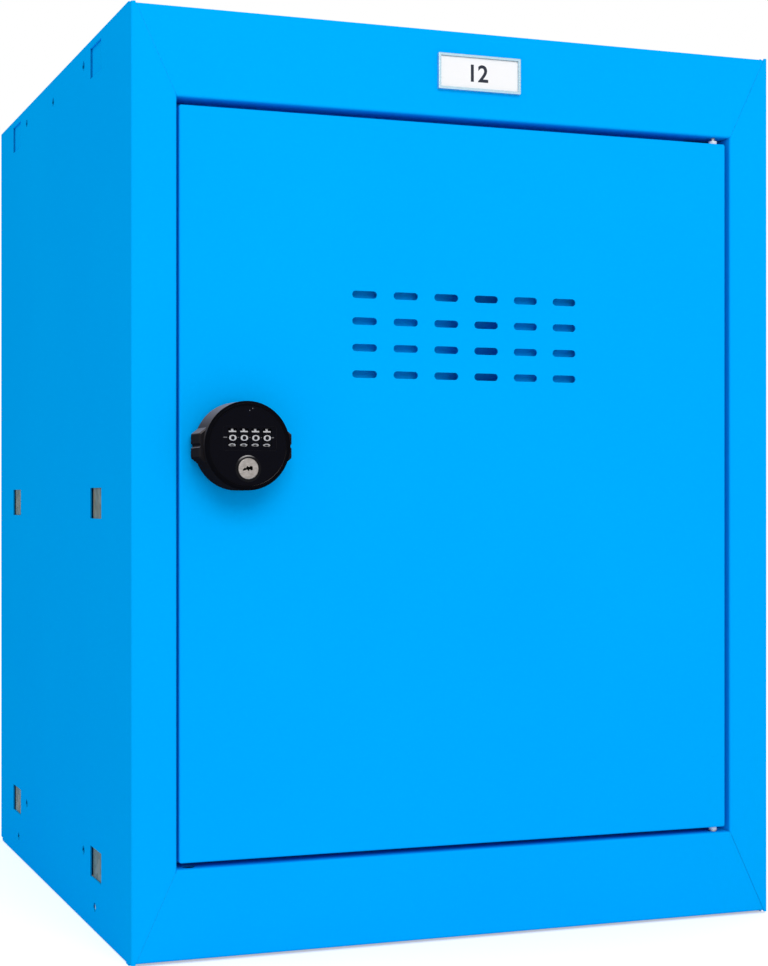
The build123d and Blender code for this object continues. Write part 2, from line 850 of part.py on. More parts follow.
def cam_screw():
    seat = cam_y + cam_thick
    end = seat + cam_screw_head_thick
    head = rod(cam_screw_head, seat, end)
    head = fillet(head.edges().sort_by(Axis.Y)[-1], cam_screw_round)
    stem = rod(cam_screw_stem, seat - cam_screw_long, seat)
    socket = RegularPolygon(cam_screw_socket / 2, 6, major_radius=False)
    return head + stem - along_y(socket, end - cam_screw_socket_deep, end + overcut)


# Assembly

def write(node, piece, x=0.0, z=0.0):
    # Moves a piece to its place in the whole object and writes it
    place = Pos(x - width / 2, front_y, z)
    group = piece if isinstance(piece, list) else [piece]
    solids = [place * solid for item in group for solid in item.solids()]
    shape = solids[0] if len(solids) == 1 else Compound(children=solids)
    shape.label = node
    export_step(shape, "parts/" + node + ".step")


def write_lock(node, piece):
    write(node, piece, lock_x, lock_z)


os.makedirs("parts", exist_ok=True)

write("left_side_panel", side_panel(left_stile, True))
write("right_side_panel", mirrored(side_panel(right_stile, False)))
write("top_panel", top_panel())
write("floor_panel", floor_panel())
write("back_panel", back_panel())
write("left_slot_plates", slot_plates())
write("right_slot_plates", [mirrored(plate) for plate in slot_plates()])
write("top_hinge_pin", top_pin())
write("bottom_hinge_pin", bottom_pin())
write("door_buffers", door_buffers())
write("label_frame", label_frame())
write("label_insert", label_insert())

write("door_panel", door_panel())
write("vent_baffle", vent_baffle())
write("top_hinge_bush", top_bush())
write("bottom_hinge_bush", bottom_bush())
write_lock("lock_rose", lock_rose())
write_lock("lock_washer", lock_washer())
write_lock("lock_nut", lock_nut())

write_lock("knob_shell", knob_shell())
write_lock("face_plate", face_plate())
write_lock("wheel_axle", wheel_axle())
write_lock("detent_spring", detent_spring())
write_lock("key_sleeve", key_sleeve())
write_lock("spindle", spindle())
write_lock("knob_screws", knob_screws())
write_lock("locking_cam", locking_cam())
write_lock("cam_screw", cam_screw())
for number, x in enumerate(window_places(), start=1):
    write_lock("code_wheel_" + str(number), code_wheel(x))
write_lock("key_plug", key_plug())
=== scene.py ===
import math
import bpy
import bmesh
import numpy as np
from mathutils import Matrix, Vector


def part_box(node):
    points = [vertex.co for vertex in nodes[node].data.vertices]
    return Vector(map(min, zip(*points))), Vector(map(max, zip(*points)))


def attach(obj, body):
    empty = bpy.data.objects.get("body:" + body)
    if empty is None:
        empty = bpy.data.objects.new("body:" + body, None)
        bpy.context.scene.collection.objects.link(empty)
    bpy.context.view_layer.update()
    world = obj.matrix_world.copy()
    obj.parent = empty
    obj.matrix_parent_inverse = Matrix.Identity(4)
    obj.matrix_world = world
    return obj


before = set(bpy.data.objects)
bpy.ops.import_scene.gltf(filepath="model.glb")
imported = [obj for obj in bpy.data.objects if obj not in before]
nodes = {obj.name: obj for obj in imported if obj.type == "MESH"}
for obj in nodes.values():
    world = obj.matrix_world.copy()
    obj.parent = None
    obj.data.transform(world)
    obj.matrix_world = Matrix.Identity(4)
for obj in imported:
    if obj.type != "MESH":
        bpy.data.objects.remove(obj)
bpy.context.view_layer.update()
scene = bpy.context.scene
scene.view_settings.view_transform = "Standard"
print("frame loaded:", len(nodes), "CAD nodes")


# Camera, matched to the photograph's edges

cameraView = {
    "place": (-0.44265, -1.16106, 0.2543),
    "turn": -19.545,        # degrees from looking along +Y
    "focal": 1846.49,       # in pixels of a picture 966 high
    "high": 966,
    "shift": (0.0757, 0.0160),
}

cameraData = bpy.data.cameras.new("camera")
cameraData.lens = cameraView["focal"] * cameraData.sensor_width / cameraView["high"]
cameraData.shift_x, cameraData.shift_y = cameraView["shift"]
camera = bpy.data.objects.new("camera", cameraData)
camera.location = cameraView["place"]
camera.rotation_euler = (math.radians(90), 0, math.radians(cameraView["turn"]))
scene.collection.objects.link(camera)
scene.camera = camera


# Shader nodes

def addNode(tree, kind, inputs=None, **settings):
    # One shader node. An input that is a socket is linked, any other is set as a value.
    made = tree.nodes.new(kind)
    for name, value in settings.items():
        setattr(made, name, value)
    for name, value in (inputs or {}).items():
        if isinstance(value, bpy.types.NodeSocket):
            tree.links.new(value, made.inputs[name])
        else:
            made.inputs[name].default_value = value
    return made


def addMath(tree, operation, first, second=0.0, clamp=False):
    inputs = {0: first, 1: second}
    made = addNode(tree, "ShaderNodeMath", inputs, operation=operation, use_clamp=clamp)
    return made.outputs[0]


def addVector(tree, operation, first, second=(0.0, 0.0, 0.0)):
    # The number that a dot product or a length gives, or else a vector
    made = addNode(tree, "ShaderNodeVectorMath", {0: first, 1: second}, operation=operation)
    return made.outputs["Value" if operation in ("DOT_PRODUCT", "LENGTH") else "Vector"]


def addRange(tree, value, fromRange, toRange):
    inputs = {"Value": value}
    inputs["From Min"], inputs["From Max"] = fromRange
    inputs["To Min"], inputs["To Max"] = toRange
    return addNode(tree, "ShaderNodeMapRange", inputs).outputs[0]


def addMix(tree, share, first, second):
    made = addNode(tree, "ShaderNodeMix", {"Factor": share}, data_type="RGBA")
    for socket, value in ((made.inputs[6], first), (made.inputs[7], second)):
        if isinstance(value, bpy.types.NodeSocket):
            tree.links.new(value, socket)
        else:
            socket.default_value = (*value, 1)
    return made.outputs[2]


def addNoise(tree, inputs, **settings):
    return addNode(tree, "ShaderNodeTexNoise", inputs, **settings).outputs[0]


def objectPlace(tree):
    return addNode(tree, "ShaderNodeTexCoord").outputs["Object"]


def splitAxes(tree, vector):
    return addNode(tree, "ShaderNodeSeparateXYZ", {0: vector}).outputs


def roundedNormal(tree, radius):
    return addNode(tree, "ShaderNodeBevel", {"Radius": radius}, samples=4).outputs[0]


# Patterns that several finishes use, as node groups

off, on = 0.0, 1.0
patterns = {
    "edgeMaskDots": (0.98, 0.75),       # rounded normal dot real one, where edge wear and edge highlight start and are full
    "patchNoise": (0.35, 0.65),     # noise where a patch starts and where it is full
    "noiseMiddle": 0.5,
    "threadWave": 0.5,              # height of the wave, in pitches
}


def newGroup(name, inputs, outputs):
    tree = bpy.data.node_groups.new(name, "ShaderNodeTree")
    for label, value in inputs.items():
        kind = "NodeSocketVector" if isinstance(value, tuple) else "NodeSocketFloat"
        socket = tree.interface.new_socket(label, in_out="INPUT", socket_type=kind)
        socket.default_value = value
    for label in outputs:
        tree.interface.new_socket(label, in_out="OUTPUT", socket_type="NodeSocketFloat")
    given = tree.nodes.new("NodeGroupInput").outputs
    return tree, given, tree.nodes.new("NodeGroupOutput").inputs


def makeEdgeWear():
    # Mask of the edges: where a normal rounded over Radius leaves the real one, broken by noise
    inputs = {"Radius": 0.0005, "Patch Size": 0.01, "Patchiness": 0.5}
    tree, given, out = newGroup("edgeWearAndHighlight", inputs, ["Mask"])
    real = addNode(tree, "ShaderNodeNewGeometry").outputs["Normal"]
    same = addVector(tree, "DOT_PRODUCT", roundedNormal(tree, given["Radius"]), real)
    edge = addRange(tree, same, patterns["edgeMaskDots"], (off, on))
    scale = addMath(tree, "DIVIDE", 1.0, given["Patch Size"])
    patch = addNoise(tree, {"Vector": objectPlace(tree), "Scale": scale, "Detail": 3.0})
    patch = addRange(tree, patch, patterns["patchNoise"], (off, on))
    kept = addMath(tree, "SUBTRACT", 1.0, addMath(tree, "MULTIPLY", patch, given["Patchiness"]))
    tree.links.new(addMath(tree, "MULTIPLY", edge, kept, clamp=True), out["Mask"])
    return tree


def makeGrain():
    # Noise with cells of a real size in metres, stretched along the axes, from 0 to 1
    inputs = {"Size": 0.001, "Stretch": (1.0, 1.0, 1.0), "Contrast": 1.0}
    tree, given, out = newGroup("grain", inputs, ["Value"])
    place = addVector(tree, "DIVIDE", objectPlace(tree), given["Stretch"])
    scale = addMath(tree, "DIVIDE", 1.0, given["Size"])
    noise = addNoise(tree, {"Vector": place, "Scale": scale, "Detail": 4.0})
    away = addMath(tree, "SUBTRACT", noise, patterns["noiseMiddle"])
    reach = addMath(tree, "MULTIPLY", away, given["Contrast"])
    value = addMath(tree, "ADD", reach, patterns["noiseMiddle"], clamp=True)
    tree.links.new(value, out["Value"])
    return tree


def makeTurning():
    # Rings round an axis along Y, as a lathe leaves them: noise over the distance from that axis
    inputs = {"Centre": (0.0, 0.0, 0.0), "Ring": 0.0003}
    tree, given, out = newGroup("turning", inputs, ["Value"])
    arm = addVector(tree, "SUBTRACT", objectPlace(tree), given["Centre"])
    arm = addVector(tree, "MULTIPLY", arm, (1.0, 0.0, 1.0))
    step = addMath(tree, "DIVIDE", addVector(tree, "LENGTH", arm), given["Ring"])
    inputs = {"W": step, "Scale": 1.0, "Detail": 3.0}
    tree.links.new(addNoise(tree, inputs, noise_dimensions="1D"), out["Value"])
    return tree


def makeThread():
    # Screw thread round an axis along Y: a wave of the depth plus the turn's share of one pitch
    inputs = {"Centre": (0.0, 0.0, 0.0), "Pitch": 0.001, "Start": 0.0}
    tree, given, out = newGroup("thread", inputs, ["Height"])
    arm = splitAxes(tree, addVector(tree, "SUBTRACT", objectPlace(tree), given["Centre"]))
    turn = addMath(tree, "ARCTAN2", arm["Z"], arm["X"])
    turn = addMath(tree, "DIVIDE", turn, 2 * math.pi)
    along = addMath(tree, "ADD", addMath(tree, "DIVIDE", arm["Y"], given["Pitch"]), turn)
    wave = addMath(tree, "PINGPONG", along, patterns["threadWave"])
    behind = addMath(tree, "GREATER_THAN", arm["Y"], given["Start"])
    tree.links.new(addMath(tree, "MULTIPLY", wave, behind), out["Height"])
    return tree


groups = {
    "edgeWearAndHighlight": makeEdgeWear(),
    "grain": makeGrain(),
    "turning": makeTurning(),
    "thread": makeThread(),
}


def addGroup(tree, name, values):
    made = tree.nodes.new("ShaderNodeGroup")
    made.node_tree = groups[name]
    for label, value in values.items():
        made.inputs[label].default_value = value
    return made.outputs[0]


def newMaterial(name, look):
    # A Principled material with the look's constant values set on its own sockets
    material = bpy.data.materials.new(name)
    material.use_nodes = True
    tree = material.node_tree
    shader = tree.nodes["Principled BSDF"]
    for socket, value in look["shader"].items():
        shader.inputs[socket].default_value = value
    material.diffuse_color = (*look["colour"], 1)
    return material, tree, shader


def joinShader(tree, shader, colour, rough, height, depth, rounded):
    # Links the worked out colour and roughness, and the relief over rounded edges, to the shader
    tree.links.new(colour, shader.inputs["Base Color"])
    tree.links.new(rough, shader.inputs["Roughness"])
    inputs = {"Height": height, "Distance": depth, "Strength": 1.0}
    if rounded:
        inputs["Normal"] = roundedNormal(tree, rounded)
    tree.links.new(addNode(tree, "ShaderNodeBump", inputs).outputs[0], shader.inputs["Normal"])


# Finishes of the sheet metal

bluePaint = {
    "colour": (0.0, 0.414, 0.99),
    "deepColour": (0.0, 0.4, 0.98),
    # Lighter edges: edge wear, partly a painted edge highlight.
    "edgeColour": (0.02, 0.49, 1.0),
    "edgeShare": 0.45,
    "slotShadeColour": (0.0, 0.2, 0.5),           # painted shade on the punched walls of the slots in the sides
    "cloud": {"Size": 0.12, "Contrast": 2.0},
    "peel": {"Size": 0.0014, "Contrast": 1.6},
    "peelRange": (0.3, 0.7),
    "peelDepth": 0.000012,
    "wearAndHighlight": {"Radius": 0.0006, "Patch Size": 0.02, "Patchiness": 0.35},
    "rough": (0.36, 0.46),
    "rounded": 0.00035,
    "shader": {"Specular IOR Level": 0.0},
}

baffleCoat = {
    **bluePaint,
    "colour": (0.0, 0.41, 1.0),             # a bluer copy of the outside paint: painted light that brightens the view through the vents
    "deepColour": (0.0, 0.39, 1.0),
}

slotShadeWalls = {
    "facing": 0.95,         # how squarely a punched edge looks forward or back
    "skin": 0.00105,        # the sheet's thickness and a hair
    "fold": 0.004,          # what the folds round the skin take up
}


def cutEdges(tree, look=slotShadeWalls):
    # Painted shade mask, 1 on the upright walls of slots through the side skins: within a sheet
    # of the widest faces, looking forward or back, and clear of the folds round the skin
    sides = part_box("left_side_panel")
    spot = addNode(tree, "ShaderNodeTexCoord").outputs
    place = splitAxes(tree, spot["Object"])
    facing = addMath(tree, "ABSOLUTE", splitAxes(tree, spot["Normal"])["Y"])
    mask = addMath(tree, "GREATER_THAN", facing, look["facing"])
    across = addMath(tree, "ABSOLUTE", place["X"])
    skin = addMath(tree, "GREATER_THAN", across, -sides[0].x - look["skin"])
    mask = addMath(tree, "MULTIPLY", mask, skin)
    for axis in "YZ":
        low, high = (getattr(corner, axis.lower()) for corner in sides)
        away = addMath(tree, "SUBTRACT", place[axis], (low + high) / 2)
        away = addMath(tree, "ABSOLUTE", away)
        flat = addMath(tree, "LESS_THAN", away, (high - low) / 2 - look["fold"])
        mask = addMath(tree, "MULTIPLY", mask, flat)
    return mask


def makeBluePaint(name, look):
    material, tree, shader = newMaterial(name, look)
    cloud = addGroup(tree, "grain", look["cloud"])
    peel = addGroup(tree, "grain", look["peel"])
    # Lighter edges: edge wear, partly a painted edge highlight.
    wornAndLitEdge = addMath(tree, "MULTIPLY", addGroup(tree, "edgeWearAndHighlight", look["wearAndHighlight"]), look["edgeShare"])
    colour = addMix(tree, cloud, look["colour"], look["deepColour"])
    colour = addMix(tree, wornAndLitEdge, colour, look["edgeColour"])
    # Painted shade: the slot walls in the side skins are darkened.
    colour = addMix(tree, cutEdges(tree), colour, look["slotShadeColour"])
    rough = addRange(tree, peel, look["peelRange"], look["rough"])
    joinShader(tree, shader, colour, rough, peel, look["peelDepth"], look["rounded"])
    return material


zincPlate = {
    "colour": (0.06, 0.165, 0.2),
    "darkColour": (0.045, 0.125, 0.155),
    "rustColour": (0.19, 0.15, 0.1),
    "rustShare": 0.6,
    "spangle": 0.004,
    "dull": {"Size": 0.012, "Contrast": 3.0},
    "fine": {"Size": 0.0004, "Stretch": (1.0, 1.0, 6.0), "Contrast": 2.0},
    "fineDepth": 0.000006,
    "rough": (0.42, 0.6),
    "rounded": 0.0002,
    "shader": {"Metallic": 0.2, "Specular IOR Level": 0.1},
}


def makeZinc(name, look):
    material, tree, shader = newMaterial(name, look)
    inputs = {"Vector": objectPlace(tree), "Scale": 1 / look["spangle"]}
    cells = addNode(tree, "ShaderNodeTexVoronoi", inputs).outputs["Color"]
    cell = addNode(tree, "ShaderNodeSeparateColor", {"Color": cells}).outputs[0]
    rust = addMath(tree, "MULTIPLY", addGroup(tree, "grain", look["dull"]), look["rustShare"])
    fine = addGroup(tree, "grain", look["fine"])
    colour = addMix(tree, cell, look["colour"], look["darkColour"])
    colour = addMix(tree, rust, colour, look["rustColour"])
    rough = addRange(tree, cell, (off, on), look["rough"])
    joinShader(tree, shader, colour, rough, fine, look["fineDepth"], look["rounded"])
    return material


# Finishes of bare metal: brushed, and brighter at the edges

platedSteel = {
    "colour": (0.36, 0.37, 0.38),
    "edgeColour": (0.6, 0.6, 0.6),
    "brush": {"Size": 0.0005, "Stretch": (8.0, 1.0, 1.0), "Contrast": 2.0},
    "brushRange": (0.2, 0.8),
    "brushDepth": 0.000005,
    "wearAndHighlight": {"Radius": 0.0004, "Patch Size": 0.004, "Patchiness": 0.5},
    "rough": (0.24, 0.4),
    "rounded": 0.0002,
    "shader": {"Metallic": 1.0},
}

silverRim = {
    **platedSteel,
    "colour": (0.47, 0.65, 0.75),
    # Bright edges: edge wear, partly a painted edge highlight.
    "edgeColour": (0.7, 0.9, 1.0),
    "brush": {"Size": 0.0003, "Stretch": (14.0, 1.0, 1.0), "Contrast": 1.2},
    "brushDepth": 0.0000015,
    "wearAndHighlight": {"Radius": 0.0003, "Patch Size": 0.004, "Patchiness": 0.3},
    "rough": (0.22, 0.34),
    "shader": {"Metallic": 0.85},
}


def makeBrushed(name, look):
    material, tree, shader = newMaterial(name, look)
    brush = addGroup(tree, "grain", look["brush"])
    wornAndLitEdge = addGroup(tree, "edgeWearAndHighlight", look["wearAndHighlight"])
    colour = addMix(tree, wornAndLitEdge, look["colour"], look["edgeColour"])
    rough = addRange(tree, brush, look["brushRange"], look["rough"])
    joinShader(tree, shader, colour, rough, brush, look["brushDepth"], look["rounded"])
    return material


# Finishes of plastic, rubber and print

plastics = {
    "whiteNylon": {
        "colour": (0.86, 0.87, 0.86), "edgeColour": (0.93, 0.93, 0.92), "rough": (0.4, 0.5),
        "grain": 0.0005, "depth": 0.000006, "rounded": 0.0002,
        "shader": {"Specular IOR Level": 0.4},
    },
    "softRubber": {
        "colour": (0.012, 0.012, 0.012), "edgeColour": (0.03, 0.03, 0.03), "rough": (0.62, 0.8),
        "grain": 0.0006, "depth": 0.00002, "rounded": 0.0003,
        "shader": {"Specular IOR Level": 0.25},
    },
    "lockFace": {
        "colour": (0.003, 0.003, 0.0055), "edgeColour": (0.03, 0.03, 0.035), "rough": (0.3, 0.4),
        "grain": 0.0003, "depth": 0.000003, "rounded": 0.0002,
        "shader": {"Specular IOR Level": 0.02},
    },
    "wheelPlastic": {
        "colour": (0.003, 0.003, 0.005), "edgeColour": (0.02, 0.02, 0.024), "rough": (0.38, 0.5),
        "grain": 0.0003, "depth": 0.000004, "rounded": 0.00015,
        "shader": {"Specular IOR Level": 0.03},
    },
    "whitePrint": {
        "colour": (0.48, 0.48, 0.505), "edgeColour": (0.45, 0.45, 0.475), "rough": (0.5, 0.6),
        "grain": 0.0002, "depth": 0.000002, "rounded": 0.0,
        "shader": {"Specular IOR Level": 0.2},
    },
    "greyPrint": {
        "colour": (0.16, 0.16, 0.175), "edgeColour": (0.2, 0.2, 0.21), "rough": (0.5, 0.6),
        "grain": 0.0002, "depth": 0.000002, "rounded": 0.0,
        "shader": {"Specular IOR Level": 0.1},
    },
    "whiteCard": {
        "colour": (0.9, 0.9, 0.915), "edgeColour": (0.95, 0.95, 0.96), "rough": (0.3, 0.38),
        "grain": 0.0015, "depth": 0.000004, "rounded": 0.0002,
        "shader": {"Specular IOR Level": 0.3},
    },
    "darkPrint": {
        "colour": (0.02, 0.025, 0.04), "edgeColour": (0.03, 0.035, 0.05), "rough": (0.45, 0.55),
        "grain": 0.0002, "depth": 0.000002, "rounded": 0.0,
        "shader": {"Specular IOR Level": 0.2},
    },
}

plasticSkin = {
    "grainContrast": 1.8,
    "handled": {"Size": 0.008, "Contrast": 2.5},        # patches that hands leave glossier
    "skinRange": (0.3, 0.7),
    "wearAndHighlight": {"Radius": 0.0004, "Patch Size": 0.003, "Patchiness": 0.6},
    "edgeShare": 0.5,
}


def makePlastic(name, look, skin=plasticSkin):
    material, tree, shader = newMaterial(name, look)
    grain = addGroup(tree, "grain", {"Size": look["grain"], "Contrast": skin["grainContrast"]})
    handled = addGroup(tree, "grain", skin["handled"])
    wornAndLitEdge = addMath(tree, "MULTIPLY", addGroup(tree, "edgeWearAndHighlight", skin["wearAndHighlight"]), skin["edgeShare"])
    colour = addMix(tree, wornAndLitEdge, look["colour"], look["edgeColour"])
    mixed = addMath(tree, "MULTIPLY", addMath(tree, "ADD", grain, handled), 0.5)
    rough = addRange(tree, mixed, skin["skinRange"], look["rough"])
    joinShader(tree, shader, colour, rough, grain, look["depth"], look["rounded"])
    return material


# Finishes of the lock

def middle(name):
    low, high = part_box(name)
    return (low + high) / 2


lockPlaces = {
    "axis": middle("lock_rose"),
    "key": middle("key_plug"),
    "front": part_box("knob_shell")[0].y,
    "door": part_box("door_panel")[0].y,
    "keyFace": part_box("key_plug")[0].y,
}

lockShell = {
    "colour": (0.011, 0.01, 0.012),
    "paintedLightColour": (0.33, 0.295, 0.3),       # painted light on the faces turned upwards
    "paintedLightTowards": (-0.2, 0.0, 0.98),
    "paintedLight": (-0.5, 1.0, 5.0),               # where it starts, where it is full, and how it rises
    "rimColour": (0.0035, 0.0035, 0.005),   # polished front rim
    "rimDeep": 0.0015,
    "rimFade": 0.0003,
    "rimFacing": (-0.6, -0.45),
    # Painted edge highlight: the edges are lighter only where the painted light falls.
    "edgeColour": (0.35, 0.33, 0.34),
    "edgeShare": 0.6,
    "grain": {"Size": 0.0004, "Contrast": 1.8},
    "grainDepth": 0.000006,
    "handled": {"Size": 0.006, "Contrast": 2.5},
    "handledRange": (0.2, 0.8),
    "wearAndHighlight": plasticSkin["wearAndHighlight"],
    "rough": (0.42, 0.55),
    "rounded": 0.0003,
    "shader": {"Specular IOR Level": 0.0},
}

sleeveGlossAndHighlight = {
    **lockShell,
    "colour": (0.005, 0.005, 0.007),
    # Painted highlight: a pale arc where the sleeve faces up and forward.
    "paintedLightColour": (0.6, 0.58, 0.58),
    "paintedLightTowards": (-0.08, -0.91, 0.407),
    "paintedLight": (0.95, 1.0, 2.0),
    "rimDeep": 0.0,
    "edgeColour": (0.05, 0.05, 0.055),
    "rough": (0.22, 0.3),
    "shader": {"Specular IOR Level": 0.06},
}


def makeShell(name, look):
    # Black plastic with painted light: paler where it faces one way, with a darker rim in front
    material, tree, shader = newMaterial(name, look)
    spot = addNode(tree, "ShaderNodeTexCoord").outputs
    # Painted light: the faces turned towards one way are paler.
    towards = addVector(tree, "DOT_PRODUCT", spot["Normal"], look["paintedLightTowards"])
    start, full, rise = look["paintedLight"]
    paintedLight = addMath(tree, "POWER", addRange(tree, towards, (start, full), (off, on)), rise)
    facing = splitAxes(tree, spot["Normal"])["Y"]
    forward = addRange(tree, facing, look["rimFacing"], (on, off))
    deep = splitAxes(tree, spot["Object"])["Y"]
    rimEnd = lockPlaces["front"] + look["rimDeep"]
    rim = addRange(tree, deep, (rimEnd, rimEnd + look["rimFade"]), (on, off))
    rim = addMath(tree, "MULTIPLY", rim, forward)
    # Painted edge highlight, only where the painted light falls.
    wornAndLitEdge = addGroup(tree, "edgeWearAndHighlight", look["wearAndHighlight"])
    wornAndLitEdge = addMath(tree, "MULTIPLY", wornAndLitEdge, addMath(tree, "MULTIPLY", paintedLight, look["edgeShare"]))
    colour = addMix(tree, paintedLight, look["colour"], look["paintedLightColour"])
    colour = addMix(tree, rim, colour, look["rimColour"])
    colour = addMix(tree, wornAndLitEdge, colour, look["edgeColour"])
    grain = addGroup(tree, "grain", look["grain"])
    handled = addGroup(tree, "grain", look["handled"])
    rough = addRange(tree, handled, look["handledRange"], look["rough"])
    joinShader(tree, shader, colour, rough, grain, look["grainDepth"], look["rounded"])
    return material


satinNickel = {
    "colour": (0.37, 0.345, 0.33),
    "scuffColour": (0.19, 0.17, 0.158),
    "scuffShare": 0.6,
    "scuff": {"Size": 0.0011, "Stretch": (2.0, 1.0, 1.0), "Contrast": 3.0},
    "edgeColour": (0.75, 0.72, 0.68),
    "edgeShare": 0.5,
    "wearAndHighlight": {"Radius": 0.0003, "Patch Size": 0.002, "Patchiness": 0.3},
    "keywayShadeColour": (0.03, 0.026, 0.024),
    "keywayShadeDeep": (0.0005, 0.0009),         # behind the face, where the painted shade starts and is full
    "ring": 0.00012,
    "ringRange": (0.2, 0.8),
    "ringDepth": 0.000004,
    "rough": (0.26, 0.42),
    "rounded": 0.0002,
    "shader": {"Metallic": 1.0},
}


def makeNickel(name, look):
    # Turned face of the key cylinder, with rings round its own axis, and painted shade deep in
    # the keyway
    material, tree, shader = newMaterial(name, look)
    rings = addGroup(tree, "turning", {"Centre": lockPlaces["key"], "Ring": look["ring"]})
    scuff = addMath(tree, "MULTIPLY", addGroup(tree, "grain", look["scuff"]), look["scuffShare"])
    wornAndLitEdge = addMath(tree, "MULTIPLY", addGroup(tree, "edgeWearAndHighlight", look["wearAndHighlight"]), look["edgeShare"])
    # Painted shade: darker deeper in the keyway behind the face.
    start, full = (lockPlaces["keyFace"] + deep for deep in look["keywayShadeDeep"])
    keywayShade = addRange(tree, splitAxes(tree, objectPlace(tree))["Y"], (start, full), (off, on))
    colour = addMix(tree, scuff, look["colour"], look["scuffColour"])
    colour = addMix(tree, wornAndLitEdge, colour, look["edgeColour"])
    colour = addMix(tree, keywayShade, colour, look["keywayShadeColour"])
    rough = addRange(tree, rings, look["ringRange"], look["rough"])
    joinShader(tree, shader, colour, rough, rings, look["ringDepth"], look["rounded"])
    return material


roseAndBarrel = {
    "colour": (0.0035, 0.0035, 0.005),
    "metalColour": (0.32, 0.32, 0.33),
    "metalDeep": 0.0005,                    # behind the door's face
    "pitch": 0.001,
    "depth": 0.0003,
    "grain": {"Size": 0.0004, "Contrast": 1.8},
    "grainRange": (0.3, 0.7),
    "rough": (0.26, 0.36),
    "rounded": 0.0003,
    "shader": {"Specular IOR Level": 0.03},
}


def makeRose(name, look):
    # Black rose in front of the door, bright threaded barrel behind it
    material, tree, shader = newMaterial(name, look)
    face = lockPlaces["door"]
    centre = (lockPlaces["axis"].x, face, lockPlaces["axis"].z)
    thread = {"Centre": centre, "Pitch": look["pitch"], "Start": look["metalDeep"]}
    thread = addGroup(tree, "thread", thread)
    grain = addGroup(tree, "grain", look["grain"])
    deep = splitAxes(tree, objectPlace(tree))["Y"]
    behind = addMath(tree, "GREATER_THAN", deep, face + look["metalDeep"])
    colour = addMix(tree, behind, look["colour"], look["metalColour"])
    tree.links.new(behind, shader.inputs["Metallic"])
    rough = addRange(tree, grain, look["grainRange"], look["rough"])
    joinShader(tree, shader, colour, rough, thread, look["depth"], look["rounded"])
    return material


materials = {
    "paint": makeBluePaint("bluePowderCoat", bluePaint),
    "insideCoat": makeBluePaint("insideCoat", baffleCoat),
    "zinc": makeZinc("zincPlate", zincPlate),
    "steel": makeBrushed("platedSteel", platedSteel),
    "silver": makeBrushed("silverRim", silverRim),
    "nickel": makeNickel("satinNickel", satinNickel),
    "rose": makeRose("rosePlate", roseAndBarrel),
    "shell": makeShell("lockShell", lockShell),
    "sleeve": makeShell("sleeveGlossAndHighlight", sleeveGlossAndHighlight),
    **{name: makePlastic(name, look) for name, look in plastics.items()},
}
print("materials made:", len(materials))

wearing = {
    "paint": ["left_side_panel", "right_side_panel", "top_panel", "floor_panel", "back_panel",
              "door_panel"],
    "insideCoat": ["vent_baffle"],
    "zinc": ["left_slot_plates", "right_slot_plates"],
    "steel": ["top_hinge_pin", "bottom_hinge_pin", "lock_washer", "lock_nut", "wheel_axle",
              "detent_spring", "spindle", "knob_screws", "locking_cam", "cam_screw"],
    "softRubber": ["door_buffers"],
    "silver": ["label_frame"],
    "whiteCard": ["label_insert"],
    "whiteNylon": ["top_hinge_bush", "bottom_hinge_bush"],
    "rose": ["lock_rose"],
    "shell": ["knob_shell"],
    "sleeve": ["key_sleeve"],
    "lockFace": ["face_plate"],
    "wheelPlastic": ["code_wheel_1", "code_wheel_2", "code_wheel_3", "code_wheel_4"],
    "nickel": ["key_plug"],
}
for finishName, names in wearing.items():
    for name in names:
        slots = nodes[name].data.materials
        slots.clear()
        slots.append(materials[finishName])
missing = sorted(set(nodes) - {name for names in wearing.values() for name in names})
print("nodes without a finish:", missing)


# New pieces

def addPiece(name, points, faces, material, body):
    # A mesh in the row frame, in metres, whose object sits at the origin
    mesh = bpy.data.meshes.new(name)
    mesh.from_pydata(points.tolist(), [], [list(map(int, face)) for face in faces])
    mesh.materials.append(materials[material])
    mesh.validate()
    piece = bpy.data.objects.new(name, mesh)
    scene.collection.objects.link(piece)
    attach(piece, body)


def textMesh(text, high, cut, bold):
    # Flat figures in the plane of x and z, centred on the origin and cut across so that they bend
    curve = bpy.data.curves.new("figure", "FONT")
    curve.body = text
    curve.align_x = "CENTER"
    curve.align_y = "CENTER"
    curve.resolution_u = 4
    curve.offset = bold
    holder = bpy.data.objects.new("figure", curve)
    scene.collection.objects.link(holder)
    bpy.context.view_layer.update()
    flat = bpy.data.meshes.new_from_object(holder)
    bpy.data.objects.remove(holder)
    cutter = bmesh.new()
    cutter.from_mesh(flat)
    bmesh.ops.remove_doubles(cutter, verts=cutter.verts, dist=1e-5)
    rows = np.array([v.co for v in cutter.verts])
    low, size = rows.min(0), np.ptp(rows, axis=0)
    for level in np.arange(low[1], low[1] + size[1], size[1] * cut / high)[1:]:
        shape = list(cutter.verts) + list(cutter.edges) + list(cutter.faces)
        bmesh.ops.bisect_plane(cutter, geom=shape, plane_co=(0, level, 0), plane_no=(0, 1, 0))
    bmesh.ops.triangulate(cutter, faces=cutter.faces)
    cutter.to_mesh(flat)
    cutter.free()
    points = np.array([v.co for v in flat.vertices])
    faces = np.array([p.vertices for p in flat.polygons])
    points = (points - (low + size / 2)) * high / size[1]
    return points[:, 0], points[:, 1], faces


# Digits on the code wheels

wheelPrint = {
    "digits": 10,
    "digitHigh": 0.0031,
    "digitWide": 0.0042,
    "oneWide": 0.3,                         # of the others' width
    "footHigh": 0.0008,                     # bar under the figure 1
    "cut": 0.0003,
    "bold": 0.005,
    "proud": 0.00003,
    "lean": math.radians(-2),               # figures stand a little under the windows' middle
    "shown": (0, 0, 0, 0),
}


